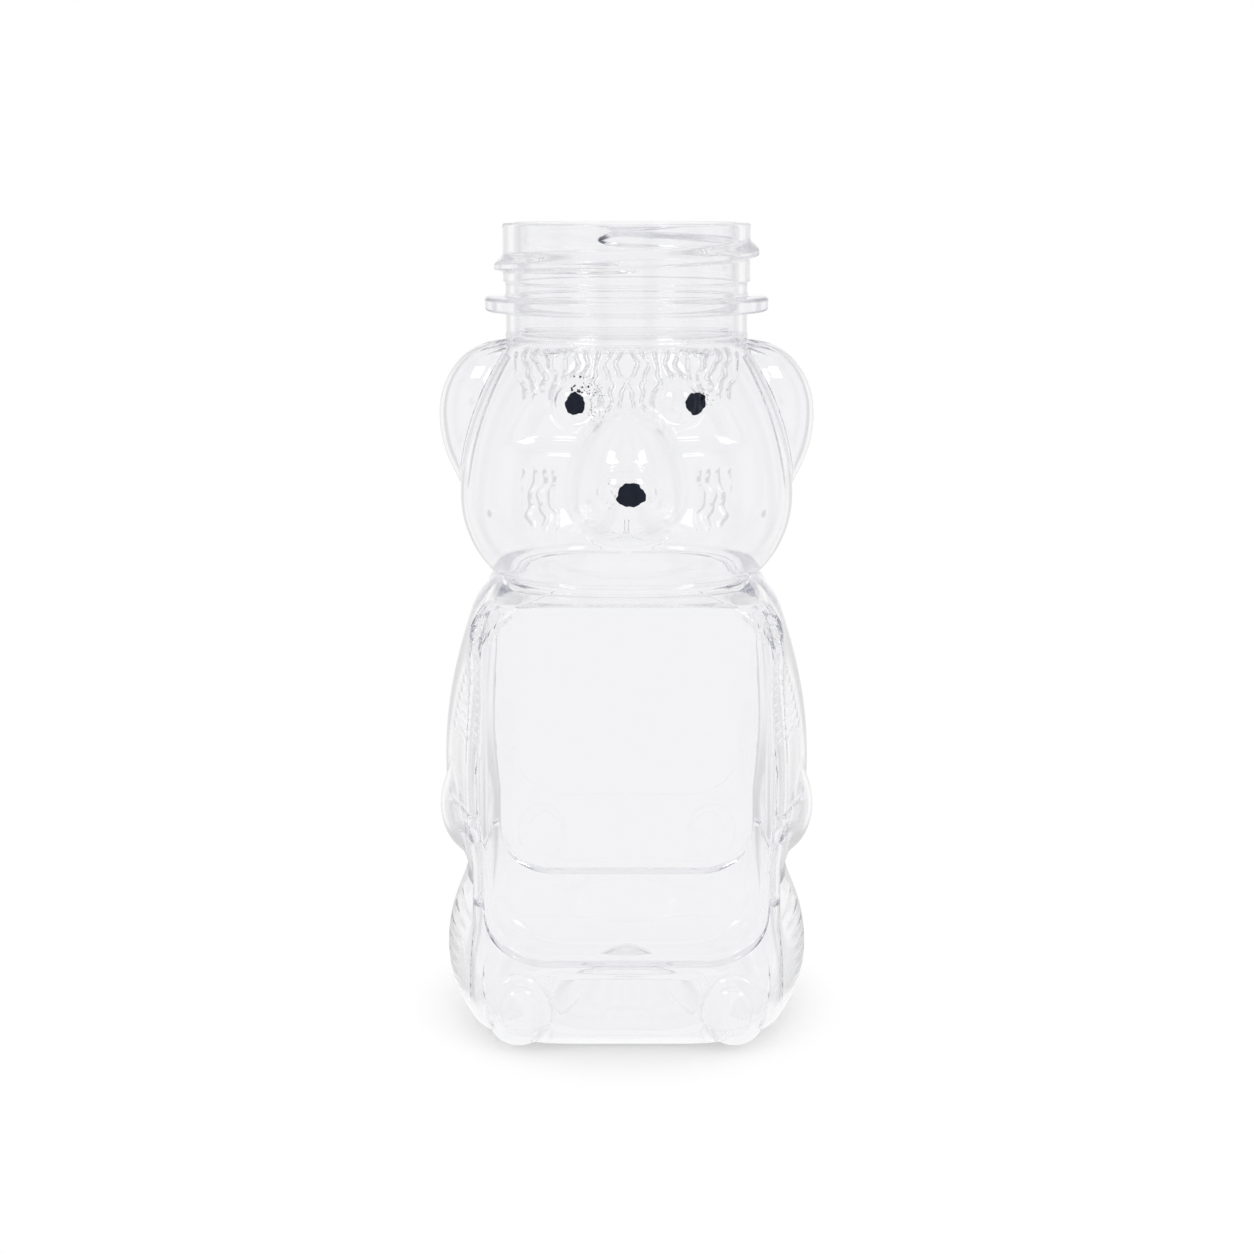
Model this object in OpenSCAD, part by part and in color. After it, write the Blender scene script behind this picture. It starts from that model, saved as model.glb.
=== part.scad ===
// Bear-shaped honey bottle, blow-moulded in clear plastic, with a threaded neck and no cap.
// Millimetres, +Z up, origin on the neck axis at the floor, the face looks along -Y.
// The one moulding is cut at its natural lines into zones that meet face to face, and the
// printed eyes and nose lie on it.

/* [Neck finish] */
// Outer diameter of the neck below the support ring and in the undercut
neck_d = 34.15; // [33:0.05:36]
// Thickness of the neck's wall in the undercut
neck_wall = 1.125; // [0.8:0.025:1.6]
// Distance by which the wall that carries the thread stands out over the undercut
finish_step = 0.35; // [0.2:0.05:0.6]
// Height of the rim over the support ring
finish_h = 10.2; // [8.5:0.1:12]
// Height of the undercut between the support ring and the neck wall
undercut_h = 2.1; // [1.6:0.1:2.8]
// Height of the plain neck below the support ring
neck_h = 3.7; // [2.5:0.1:5]
// Distance by which the support ring stands out from the neck
ring_out = 2.925; // [2:0.025:4]
// Thickness of the support ring
ring_t = 2; // [1.4:0.1:2.6]

/* [Thread] */
// Axial distance between turns
thread_pitch = 4.233; // [3.6:0.05:5]
// Height of the thread over the wall that carries it
thread_h = 1.225; // [0.9:0.025:1.6]
// Width of the thread at its root
thread_root_w = 2.7; // [2:0.1:3.2]
// Width of the thread at its crest
thread_crest_w = 0.9; // [0.5:0.1:1.4]
// Length of the thread in degrees of turn
thread_sweep = 385; // [300:5:410]
// Depth of the thread's first crest below the rim
thread_top = 2.3; // [2:0.1:3]

/* [Wall] */
// Thickness of the blown wall
wall = 0.55; // [0.4:0.05:0.9]

/* [Bear] */
// Width over the ears, which the arms and legs stay a little inside
bear_w = 53.4; // [51:0.1:56]

/* [Head] */
// Height from the crease under the chin to the root of the neck
head_h = 33.9; // [31:0.1:38]
// Width of the head across the cheeks
head_w = 47.5; // [45:0.1:51]
// Distance from the neck axis to the front of the cheeks
face_out = 21.9; // [20.5:0.1:23.5]
// Distance from the neck axis to the back of the head
nape_out = 21.6; // [20:0.1:23.5]
// Height of the widest cheek over the crease
cheek_up = 11.6; // [10.4:0.1:13]
// Height of the eye mask's lower edge over the crease
mask_up = 19.6; // [18:0.1:21]
// Depth by which the eye mask lies behind the cheeks
mask_d = 1.3; // [0.6:0.1:1.8]

/* [Ears] */
// Thickness of an ear, front to back
ear_t = 10; // [8:0.1:12]
// Height of an ear
ear_h = 23.5; // [20:0.1:25]
// Distance by which an ear's top lies below the root of the neck
ear_drop = 0.4; // [0:0.1:2]

/* [Eyes] */
// Distance between the moulded eyeballs
eye_gap = 13.8; // [12:0.1:16]
// Diameter of a moulded eyeball
eye_d = 7.2; // [5:0.1:8]
// Height of the eyes over the crease
eye_up = 26.2; // [25:0.1:27]
// Distance from the front of the cheeks to the centre of an eyeball
eye_in = 6.3; // [5.8:0.1:6.8]

/* [Snout] */
// Width of the snout
snout_w = 16.4; // [14:0.1:18]
// Distance from the neck axis to the front of the snout
snout_out = 26.8; // [25:0.1:28.5]
// Height of the widest snout over the crease
snout_up = 14.1; // [12.5:0.1:15.5]
// Width of the nose tip
nose_w = 8.4; // [7:0.1:9.4]
// Height of the nose tip over the crease
nose_up = 15.2; // [13.6:0.1:16.6]

/* [Torso] */
// Height of the crease between torso and head
crease_z = 65.4; // [62:0.1:70]
// Width of the body behind the arms
torso_w = 43; // [42.5:0.1:45]
// Depth of the body, front to back, over the panel beads
torso_d = 44.2; // [43.5:0.1:46]
// Width of the crease between torso and head
crease_w = 35.4; // [34:0.1:38]
// Depth of the crease, front to back
crease_d = 35; // [34:0.1:38]

/* [Label panels] */
// Width of the front panel
front_panel_w = 39.7; // [36:0.1:41]
// Width of the back panel
back_panel_w = 41; // [36:0.1:41.4]
// Height of the panels' lower edge over the floor
panel_z = 13.3; // [12:0.1:15]
// Corner radius of the panels
panel_r = 9; // [6:0.5:12]
// Depth of the panels behind the body's face
panel_in = 0.5; // [0.3:0.05:0.8]

/* [Arms] */
// Distance by which the arms stay inside the ears, each side
arm_in = 0.3; // [0:0.05:1]
// Distance by which the paws stay inside the ears, each side
paw_in = 0.15; // [0:0.05:0.6]
// Height of the widest arm over the notch
arm_up = 16.4; // [14:0.1:20]
// Diameter of a paw
paw_d = 10.8; // [9:0.1:13]
// Height of a paw over the notch
paw_up = 11.8; // [10.5:0.1:13]
// Distance by which a paw lies in front of the neck axis
paw_fwd = 10.5; // [9:0.1:12]

/* [Legs] */
// Distance by which the thighs stay inside the ears, each side
thigh_in = 0.25; // [0:0.05:1]
// Height of the notch between knee and paw
knee_z = 22; // [19:0.1:24]
// Distance by which the widest thigh lies below the notch
thigh_down = 11.5; // [10:0.1:13]
// Distance by which a thigh's middle lies in front of the neck axis
thigh_fwd = 1; // [0:0.1:2]
// Width of a foot
foot_w = 10; // [7:0.1:11]
// Distance between the centres of the feet
foot_gap = 30.4; // [27:0.1:32]
// Height of a foot's centre over the floor
foot_z = 6.5; // [6:0.1:7.4]
// Distance from the neck axis to the soles
sole_out = 23.8; // [22.6:0.1:24.5]

/* [Base] */
// Radius of the edge between the sides and the floor
edge_r = 6; // [4:0.1:8]
// Height of the dome pushed up under the base
push_up = 8; // [4:0.1:10]

/* [Prints] */
// Width of a printed eye
eye_print_w = 2.6; // [2:0.1:3.4]
// Height of a printed eye
eye_print_h = 3; // [2:0.1:3.6]
// Distance between the printed eyes
eye_print_gap = 16.3; // [14:0.1:18]
// Distance by which the printed eyes sit to the +X side of the moulded face
eye_print_off = 1.25; // [0:0.05:1.6]
// Width of the printed nose
nose_print_w = 3.8; // [3:0.1:5]
// Height of the printed nose
nose_print_h = 3.2; // [2.4:0.1:4]
// Distance by which the printed nose sits to the +X side of the moulded face
nose_print_off = 0.6; // [0:0.05:1]
// Thickness of the ink
ink_t = 0.1; // [0.05:0.01:0.2]

/* [Hidden] */

$fn = 96;
clear_pet = [0.80, 0.88, 0.92, 0.6];
navy_ink = [0.05, 0.07, 0.13];

// Diameters of the neck
bore_d = neck_d - 2 * neck_wall;
finish_d = neck_d + 2 * finish_step;
ring_d = neck_d + 2 * ring_out;
thread_d = finish_d + 2 * thread_h;
// Height of the head's rounded shoulder at the root of the neck
shoulder_h = 0.6;
// Heights over the floor
root_z = crease_z + head_h;
neck_z = root_z + shoulder_h;
ring_z = root_z + neck_h;
rim_z = ring_z + ring_t + finish_h;

// Corner radius of the body in plan, how much it grows towards the floor and the crease, and over
// what heights
corner_r = 3;
corner_grow = 4.5;
corner_low = 10;
corner_high = 8;
// Height under the crease over which the sides draw in, and over which the front turns back
side_draw = 5.5;
roll_h = 1;
// Radius of the panels' upper corners, and width of the slope along a panel's edge
panel_top_r = 6;
panel_slope = 0.9;
// Depth of the panels' upper edge below the crease
panel_drop = 0.3;
// The shoulders outside the panels' upper corners: where they start below the crease, over what
// height they form, the width of their edge, and how fast they fall back from it
shoulder_down = 8;
shoulder_rise = 4;
shoulder_edge = 0.4;
shoulder_fall = 2.2;
// Fillets where the lobes join the forms behind
ear_fillet = 1;
eye_fillet = 0.6;
snout_fillet = 1.5;
nose_fillet = 0.8;
limb_fillet = 4;
paw_fillet = 0.8;
foot_fillet = 0.6;
// Share of the floor outline inside which the base is pushed up
stand_k = 0.86;
// Gap that keeps the ink clear of the moulding's facets
ink_seat = 0.02;
// Radius of the support ring's rounded edge
ring_edge = 0.5;
// Angle of the thread's start, at the back, and of each step along it
thread_start = 106;
thread_step = 4;
// Height of the thread's nearly level lower flank
thread_flank = 0.3;
// Angle over which the thread rises at its start, and over which it sinks at its end
thread_run_in = 14;
thread_run_out = 40;

// Points round each ring
ring_n = 80;
function turn(i) = 360 * i / ring_n;

// Smooth step from 0 to 1 while v runs from 0 to 1
function ease(v) = let(u = max(0, min(1, v))) u * u * (3 - 2 * u);
function mix(a, b, v) = a + (b - a) * v;
// The larger of two radii, with a fillet where they are within k of each other
function blend(a, b, k) = max(a, b) + pow(max(k - abs(a - b), 0), 2) / (4 * k);

// Radius at which a ray from the axis leaves a superellipse of half-axes a and b
function oval(c, s, a, b, n) = pow(pow(abs(c) / a, n) + pow(abs(s) / b, n), -1 / n);
// Radius at which a ray from the axis leaves a rectangle with rounded corners
function box(c, s, a, b, r) =
    let(t = min(a / max(c, 0.001), b / max(abs(s), 0.001)))
    let(far = c * t > a - r && abs(s) * t > b - r)
    let(m = c * (a - r) + abs(s) * (b - r))
    far ? m + sqrt(max(0, m * m - pow(a - r, 2) - pow(b - r, 2) + r * r)) : t;
// Half-width at height z of a form that is widest, w, at zc, with arcs below and above
function barrel(z, zc, w, r_down, r_up) =
    let(r = z < zc ? r_down : r_up) w - r + sqrt(max(0, r * r - pow(z - zc, 2)));
// Radius at which a ray from the axis leaves an ellipsoid lobe, or 0 where it misses.
// A lobe is [centre, half-axes, half-height below the centre].
function lobe(c, s, z, l) =
    let(p = l[0], h = l[1], rz = z > p[2] ? h[2] : l[2])
    let(k = 1 - pow((z - p[2]) / rz, 2))
    k <= 0.0001 ? 0 :
    let(ax = h[0] * sqrt(k), ay = h[1] * sqrt(k))
    let(qa = pow(c / ax, 2) + pow(s / ay, 2))
    let(qb = c * p[0] / pow(ax, 2) + s * p[1] / pow(ay, 2))
    let(qc = pow(p[0] / ax, 2) + pow(p[1] / ay, 2) - 1)
    let(q = qb * qb - qa * qc)
    q <= 0 ? 0 : max(0, (qb + sqrt(q)) / qa);

// Arcs of the head's outline: below and above the cheeks at the side, front and back
jaw_r = 14.9;
temple_r = 34.9;
chin_r = 18.8;
brow_r = 60;
nape_r = 54;
// Heights over the crease of the widest cheek at the side and at the front
cheek_z = crease_z + cheek_up;
face_z = cheek_z + 0.6;
// Height of the eye mask's lower edge, half-width there, and taper
mask_z = crease_z + mask_up;
mask_half_w = 15.8;
mask_taper = 0.36;
// Width over which the mask's edges slope, and how far the slope lies outside the edge
mask_edge = 3.4;
mask_edge_out = 0.7;

// Lobes on the +X side and at the front; the other side mirrors them
half_w = bear_w / 2;
ear_rx = 9.2;
ear_over = ear_h * 0.445;
ear = [
    [half_w - ear_rx, 0, root_z - ear_drop - ear_over],
    [ear_rx, ear_t / 2, ear_over],
    ear_h - ear_over
];
eye_r = eye_d / 2;
eye_z = crease_z + eye_up;
eye_ball = [[eye_gap / 2, eye_in - face_out, eye_z], [eye_r, eye_r, eye_r], eye_r];
snout_ry = 9.3;
snout_over = 12;
snout_under = 7.2;
snout = [
    [0, snout_ry - snout_out, crease_z + snout_up],
    [snout_w / 2, snout_ry, snout_over],
    snout_under
];
nose_ry = 2.6;
nose_in = 1;
nose_over = 3.6;
nose_under = 3.4;
nose_z = crease_z + nose_up;
nose_tip = [
    [0, nose_ry - nose_in - snout_out, nose_z],
    [nose_w / 2, nose_ry, nose_over],
    nose_under
];
arm_rx = 10.4;
arm_ry = 23;
arm_under = 19.9;
arm_top = 0.9;
arm_z = knee_z + arm_up;
arm = [
    [half_w - arm_in - arm_rx, 0, arm_z],
    [arm_rx, arm_ry, crease_z - arm_top - arm_z],
    arm_under
];
paw_r = paw_d / 2;
paw_z = knee_z + paw_up;
paw = [
    [half_w - paw_in - paw_r, -paw_fwd, paw_z],
    [paw_r, paw_r + 0.4, paw_r + 2.1],
    paw_r + 2
];
thigh_rx = 10.3;
thigh_ry = 20.5;
thigh_over = 14.5;
thigh_sink = 2.1;
thigh_z = knee_z - thigh_down;
thigh = [
    [half_w - thigh_in - thigh_rx, -thigh_fwd, thigh_z],
    [thigh_rx, thigh_ry, thigh_over],
    thigh_z + thigh_sink
];
foot_ry = 4;
foot_over = 6.1;
foot_under = 5.4;
foot = [
    [foot_gap / 2, foot_ry - sole_out, foot_z],
    [foot_w / 2, foot_ry, foot_over],
    foot_under
];

// Section of the crease under the chin, shared by head and torso
function crease(c, s) = oval(c, s, crease_w / 2, crease_d / 2, 2.3);

// How far a point of the face lies inside the eye mask, 0 to 1
function mask(c, s, z) =
    let(x = c * face_out, edge = mask_half_w - (z - mask_z) * mask_taper)
    let(rise = ease((z - mask_z) / 1.8) * ease((root_z + 1.2 - z) / 2.4))
    s > 0 ? 0 : rise * ease((edge + mask_edge_out - x) / mask_edge);

// Radius of the head's outside
function head_r(c, s, z) =
    let(side = barrel(z, cheek_z, head_w / 2, jaw_r, temple_r))
    let(front = barrel(z, face_z, face_out, chin_r, brow_r))
    let(rear = barrel(z, face_z, nape_out, chin_r, nape_r))
    let(skull = oval(c, s, side, s < 0 ? front : rear, 2.25) - mask_d * mask(c, s, z))
    let(cut = mix(skull, neck_d / 2, ease((z - root_z + 0.7) / 0.8)))
    let(v1 = blend(cut, neck_d / 2, 0.3))
    let(v2 = blend(v1, lobe(c, s, z, ear), ear_fillet))
    let(v3 = blend(v2, lobe(c, s, z, eye_ball), eye_fillet))
    let(v4 = blend(v3, lobe(c, s, z, snout), snout_fillet))
    let(v5 = blend(v4, lobe(c, s, z, nose_tip), nose_fillet))
    mix(crease(c, s), v5, ease((z - crease_z) / 1.5));

// Width and depth of a label panel at the side of the body that the ray meets
function panel_w(s) = s < 0 ? front_panel_w : back_panel_w;
panel_y = torso_d / 2 - panel_in;
// Distance from a label panel's edge, negative inside
function panel_edge(x, z, w) =
    let(h = crease_z - panel_drop - panel_z, r = z > panel_z + h / 2 ? panel_top_r : panel_r)
    let(u = abs(x) - w / 2 + r, v = abs(z - panel_z - h / 2) - h / 2 + r)
    norm([max(u, 0), max(v, 0)]) + min(max(u, v), 0) - r;

// The body's front and back, planed down to the label panels, with shoulders that fall back
// outside the panels' upper corners
function planed(c, s, z, r) =
    let(deep = max(abs(s), 0.1), flat = panel_y / deep, w = panel_w(s))
    let(high = ease((z - crease_z + shoulder_down) / shoulder_rise))
    let(past = max(0, panel_edge(c * min(flat, r), z, w)))
    let(fall = panel_in + ease(past / shoulder_edge) + shoulder_fall * past)
    let(shoulder = max((torso_d / 2 - fall * high) / deep, crease(c, s)))
    mix(min(r, shoulder), min(r, flat), ease(-panel_edge(c * flat, z, w) / panel_slope));

// Radius of the body's outside from the floor to the crease
function body_r(c, s, z) =
    let(edge = z < edge_r ? edge_r - sqrt(edge_r * edge_r - pow(edge_r - z, 2)) : 0)
    let(top = pow(max(0, z - crease_z + side_draw) / side_draw, 2))
    let(a = torso_w / 2 - edge - (torso_w - crease_w) / 2 * top)
    let(b = torso_d / 2 - edge)
    let(low = ease(1 - z / corner_low), high = ease((z - crease_z + corner_high) / corner_high))
    let(corner = corner_r + edge / 2 + corner_grow * (low + high))
    let(core = box(c, s, a, b, corner))
    let(v1 = blend(core, lobe(c, s, z, arm), limb_fillet))
    let(v2 = blend(v1, lobe(c, s, z, paw), paw_fillet))
    let(v3 = blend(v2, lobe(c, s, z, thigh), limb_fillet))
    let(v4 = blend(planed(c, s, z, v3), lobe(c, s, z, foot), foot_fillet))
    mix(v4, crease(c, s), ease((z - crease_z + roll_h) / roll_h));

// Height where torso and base meet: along the panels' lower outline, and at the notch beside them
function meet_z(t) =
    let(c = abs(cos(t)), s = sin(t), w = panel_w(s))
    let(x = c * panel_y / max(abs(s), 0.1), u = max(0, x - w / 2 + panel_r))
    x < w / 2 ? min(knee_z, panel_z + panel_r - sqrt(panel_r * panel_r - u * u)) : knee_z;

function shape_r(t, z) =
    let(c = abs(cos(t)), s = sin(t))
    z > crease_z ? head_r(c, s, z) : body_r(c, s, z);
function skin(t, z) = let(r = shape_r(t, z)) [r * cos(t), r * sin(t), z];

// Unit normal of the outside, from the surface a short step to each side
step_t = 1;
step_z = 0.2;
step_k = 0.01;
function unit(v) = v / norm(v);
function skin_normal(t, z) =
    let(along = skin(t + step_t, z) - skin(t - step_t, z))
    let(up = skin(t, z + step_z) - skin(t, max(0, z - step_z)))
    unit(cross(along, up));
// Normal in the plane of a ring, for the rings where two zones meet
function flat_normal(t, z) =
    let(along = skin(t + step_t, z) - skin(t - step_t, z)) unit([along[1], -along[0], 0]);

function outer_ring(zs) = [for (i = [0 : ring_n - 1]) skin(turn(i), zs[i])];
function inner_ring(zs) = [
    for (i = [0 : ring_n - 1]) skin(turn(i), zs[i]) - wall * skin_normal(turn(i), zs[i])
];
function joint_ring(zs) = [
    for (i = [0 : ring_n - 1]) skin(turn(i), zs[i]) - wall * flat_normal(turn(i), zs[i])
];

// Heights of a zone's rings, closer together towards both ends. Each ring has a height for each
// of its points.
function levels(low, high, n) = [
    for (k = [0 : n])
        [for (i = [0 : ring_n - 1]) mix(low[i], high[i], 0.4 * k / n + 0.6 * (0.5 - cos(180 * k / n) / 2))]
];
function level(z) = [for (i = [0 : ring_n - 1]) z];
meeting = [for (i = [0 : ring_n - 1]) meet_z(turn(i))];

// Triangles from the n points that start at a to the n points that start at b
function band(a, b, n) = [
    for (i = [0 : n - 1])
        let(j = (i + 1) % n)
        each [[a + i, b + j, a + j], [a + i, b + i, b + j]]
];
// The same with the other diagonal, so that the torso's and the base's ends match
function cross_band(a, b, n) = [
    for (i = [0 : n - 1])
        let(j = (i + 1) % n)
        each [[a + i, b + i, a + j], [b + i, b + j, a + j]]
];
// Triangles from a single point to the n points that start at b
function fan(tip, b, n) = [for (i = [0 : n - 1]) [tip, b + i, b + (i + 1) % n]];

// Rings that climb the outside and then descend the inside, open above and below
module tube_zone(zs) {
    n = len(zs) - 1;
    inside = [for (k = [0 : n]) k == 0 || k == n ? joint_ring(zs[n - k]) : inner_ring(zs[n - k])];
    rings = concat([for (z = zs) outer_ring(z)], inside);
    polyhedron(
        points = [for (r = rings) each r],
        faces = [
            for (j = [0 : len(rings) - 1])
                each band(j * ring_n, (j + 1) % len(rings) * ring_n, ring_n)
        ]
    );
}

// A stack of rings of n points that starts and ends in a single point. The band above ring
// crossed has the other diagonal.
module capped_stack(first, rings, last, n, crossed = -1) {
    m = len(rings);
    polyhedron(
        points = concat([first], [for (r = rings) each r], [last]),
        faces = concat(
            fan(0, 1, n),
            [
                for (j = [0 : m - 2])
                    each j == crossed
                        ? cross_band(1 + j * n, 1 + (j + 1) * n, n)
                        : band(1 + j * n, 1 + (j + 1) * n, n)
            ],
            [for (f = fan(m * n + 1, 1 + (m - 1) * n, n)) [f[0], f[2], f[1]]]
        )
    );
}

// Underside of the base at share k of the way from the axis to the floor outline
function floor_point(t, k) =
    let(r = k * mix(torso_w / 2 - edge_r, shape_r(t, 0), ease((k - 0.5) / 0.5)))
    let(rise = k < stand_k ? 0.5 + 0.5 * cos(180 * k / stand_k) : 0)
    [r * cos(t), r * sin(t), push_up * rise];
function floor_normal(t, k) =
    let(along = floor_point(t + step_t, k) - floor_point(t - step_t, k))
    let(out = floor_point(t, k + step_k) - floor_point(t, k - step_k))
    unit(cross(along, out));
function floor_ring(k, in) = [
    for (i = [0 : ring_n - 1]) floor_point(turn(i), k) - in * floor_normal(turn(i), k)
];

// Angle at which the face lies x to the side at height z, found in n steps
function face_t(x, z, t = -90, n = 6) = n == 0 ? t : face_t(x, z, -acos(x / shape_r(t, z)), n - 1);

// A printed spot: the skin within w by h of a point of the face, raised by the ink
module print_spot(x, z, w, h) {
    t0 = face_t(x, z);
    per_degree = (skin(t0 + step_t, z)[0] - skin(t0 - step_t, z)[0]) / (2 * step_t);
    spokes = 20;
    rings = 4;
    function spot(k, a, up) =
        let(t = t0 + k * cos(a) * w / 2 / per_degree, v = z + k * sin(a) * h / 2)
        let(r = shape_r(t, v) + up)
        [r * cos(t), r * sin(t), v];
    function loop(k, up) = [for (i = [0 : spokes - 1]) spot(k, 360 * i / spokes, up)];
    capped_stack(
        spot(0, 0, ink_seat),
        concat(
            [for (j = [1 : rings]) loop(j / rings, ink_seat)],
            [for (j = [0 : rings - 1]) loop(1 - j / rings, ink_seat + ink_t)]
        ),
        spot(0, 0, ink_seat + ink_t),
        spokes
    );
}

module neck_finish() {
    color(clear_pet)
        rotate_extrude()
            polygon([
                [bore_d / 2, neck_z],
                [neck_d / 2, neck_z],
                [neck_d / 2, ring_z + ring_t + undercut_h - 0.2],
                [finish_d / 2, ring_z + ring_t + undercut_h],
                [finish_d / 2, rim_z - 0.3],
                [finish_d / 2 - 0.3, rim_z],
                [bore_d / 2, rim_z]
            ]);
}

// One right-hand turn whose lower flank is nearly level and whose upper flank slopes
module neck_thread() {
    root_r = finish_d / 2 / cos(thread_step / 2);
    n = ceil(thread_sweep / thread_step);
    function height(a) = min(1, a / thread_run_in, (thread_sweep - a) / thread_run_out);
    function section(a) =
        let(h = max(0.08, ease(height(a))), t = thread_start - a)
        let(r1 = root_r + h * (thread_d - finish_d) / 2)
        let(mid = rim_z - thread_top - thread_crest_w / 2 - thread_pitch * a / 360)
        let(up = h * (thread_root_w - thread_crest_w - thread_flank))
        [
            for (p = [
                [root_r, mid - h * (thread_crest_w / 2 + thread_flank)],
                [r1, mid - h * thread_crest_w / 2],
                [r1, mid + h * thread_crest_w / 2],
                [root_r, mid + h * thread_crest_w / 2 + up]
            ]) [p[0] * cos(t), p[0] * sin(t), p[1]]
        ];
    color(clear_pet)
        polyhedron(
            points = [for (i = [0 : n]) each section(min(thread_sweep, i * thread_step))],
            faces = concat(
                [[0, 1, 2], [0, 2, 3]],
                [for (i = [0 : n - 1]) for (f = band(i * 4, (i + 1) * 4, 4)) f],
                [[n * 4, n * 4 + 2, n * 4 + 1], [n * 4, n * 4 + 3, n * 4 + 2]]
            )
        );
}

module support_ring() {
    color(clear_pet)
        rotate_extrude() {
            translate([neck_d / 2, ring_z])
                square([(ring_d - neck_d) / 2 - ring_edge, ring_t]);
            translate([neck_d / 2, ring_z + ring_edge])
                square([(ring_d - neck_d) / 2, ring_t - 2 * ring_edge]);
            for (z = [ring_edge, ring_t - ring_edge])
                translate([ring_d / 2 - ring_edge, ring_z + z])
                    circle(r = ring_edge, $fn = 24);
        }
}

module head() {
    color(clear_pet)
        tube_zone(levels(level(crease_z), level(neck_z), 25));
}

module torso() {
    color(clear_pet)
        tube_zone(levels(meeting, level(crease_z), 20));
}

module base() {
    inner_k = [0.17, 0.34, 0.5, 0.66, 0.83, 0.93];
    edge_z = [for (a = [0 : 15 : 75]) level(edge_r * (1 - cos(a)))];
    side_z = levels(level(edge_r), meeting, 8);
    zs = concat(edge_z, side_z);
    n = len(zs) - 1;
    outside = concat([for (k = inner_k) floor_ring(k, 0)], [for (z = zs) outer_ring(z)]);
    inside = concat(
        [joint_ring(meeting)],
        [for (j = [1 : n - 1]) inner_ring(zs[n - j])],
        [for (j = [1 : len(inner_k)]) floor_ring(inner_k[len(inner_k) - j], wall)]
    );
    color(clear_pet)
        capped_stack(
            [0, 0, push_up],
            concat(outside, inside),
            [0, 0, push_up + wall],
            ring_n,
            crossed = len(outside) - 1
        );
}

module left_eye() {
    color(navy_ink)
        print_spot(eye_print_off - eye_print_gap / 2, eye_z, eye_print_w, eye_print_h);
}

module right_eye() {
    color(navy_ink)
        print_spot(eye_print_off + eye_print_gap / 2, eye_z, eye_print_w, eye_print_h);
}

module nose() {
    color(navy_ink)
        print_spot(nose_print_off, nose_z - 0.1, nose_print_w, nose_print_h);
}

neck_finish();
neck_thread();
support_ring();
head();
torso();
base();
left_eye();
right_eye();
nose();
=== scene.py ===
# %% [markdown]
# # Honey bear bottle
# A clear bottle blown in one piece of PET, in the shape of a sitting bear, with a threaded neck
# and three spots of ink for the eyes and nose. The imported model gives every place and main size.
# This lesson works out the outside and the inside of the wall as surfaces, so that light bends
# through a real thickness, and then gives the plastic and the ink their finish.

# %% Load the frame
import bpy
import numpy as np
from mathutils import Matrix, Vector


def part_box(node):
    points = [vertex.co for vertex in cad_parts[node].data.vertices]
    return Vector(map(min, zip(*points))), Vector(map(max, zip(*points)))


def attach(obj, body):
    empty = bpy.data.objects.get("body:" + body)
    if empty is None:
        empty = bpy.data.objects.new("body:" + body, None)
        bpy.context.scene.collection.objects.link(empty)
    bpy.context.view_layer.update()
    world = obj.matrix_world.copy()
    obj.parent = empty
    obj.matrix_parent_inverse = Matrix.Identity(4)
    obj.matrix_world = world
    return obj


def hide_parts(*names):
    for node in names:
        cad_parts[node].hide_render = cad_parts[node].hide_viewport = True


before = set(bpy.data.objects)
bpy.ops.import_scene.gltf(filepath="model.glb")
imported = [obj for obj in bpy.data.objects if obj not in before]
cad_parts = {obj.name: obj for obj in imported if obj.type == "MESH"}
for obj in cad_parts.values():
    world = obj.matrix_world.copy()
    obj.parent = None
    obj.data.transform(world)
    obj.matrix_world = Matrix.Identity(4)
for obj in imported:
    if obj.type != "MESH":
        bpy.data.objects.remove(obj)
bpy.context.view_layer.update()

# %% [markdown]
# ## Sizes
# The lesson thinks in millimetres, as the mould maker does, and turns to metres only when a mesh
# is made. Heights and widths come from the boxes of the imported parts. What a box can't tell, such
# as the half-axes of a cheek or an ear, is written once, in the cell that first needs it. Names that
# end in _z are heights over the floor, and names that end in _r are radii.

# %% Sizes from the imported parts
MM = 0.001


def corners(node):
    """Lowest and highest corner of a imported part, in millimetres."""
    low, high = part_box(node)
    return np.array(low) / MM, np.array(high) / MM


neck_low, neck_high = corners("neck_finish")
ring_low, ring_high = corners("support_ring")
torso_low, torso_high = corners("torso")

knee_z, panel_low, crease_z = corners("base")[1][2], torso_low[2], torso_high[2]
neck_z, rim_z, finish_r = neck_low[2], neck_high[2], neck_high[0]
ring_z, ring_top, ring_r = ring_low[2], ring_high[2], ring_high[0]
thread_r, half_w = corners("neck_thread")[1][1], corners("head")[1][0]

root_drop, undercut, finish_wall, wall = 0.6, 0.35, 1.475, 0.55
root_z, neck_r, bore_r = neck_z - root_drop, finish_r - undercut, finish_r - finish_wall
print(f"crease {crease_z:.1f}, neck {neck_z:.1f}, rim {rim_z:.1f}, bore {2 * bore_r:.2f} mm")

# %% [markdown]
# ## Shape functions
# Every zone of the bear is a radius that depends on the angle round the neck axis and on the
# height. Lobes, such as an ear or a paw, are ellipsoids seen from the axis, and a fillet joins
# them to the form behind. A bear could be sculpted by hand too, but a formula gives the wall's
# outside and inside from one source. In the functions c and s are the cosine and the sine of the
# angle. The bear is alike left and right, so c has no sign, and s is negative in front.

# %% Small helpers for shapes


def ease(v):
    """Smooth step: 3v^2 - 2v^3 while v runs from 0 to 1, flat outside."""
    u = np.clip(v, 0, 1)
    return u * u * (3 - 2 * u)


def between(v, low, high, rise, fall):
    """1 while v lies between low and high, eased in over rise and out over fall, else 0."""
    return ease((v - low) / rise) * ease((high - v) / fall)


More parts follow.
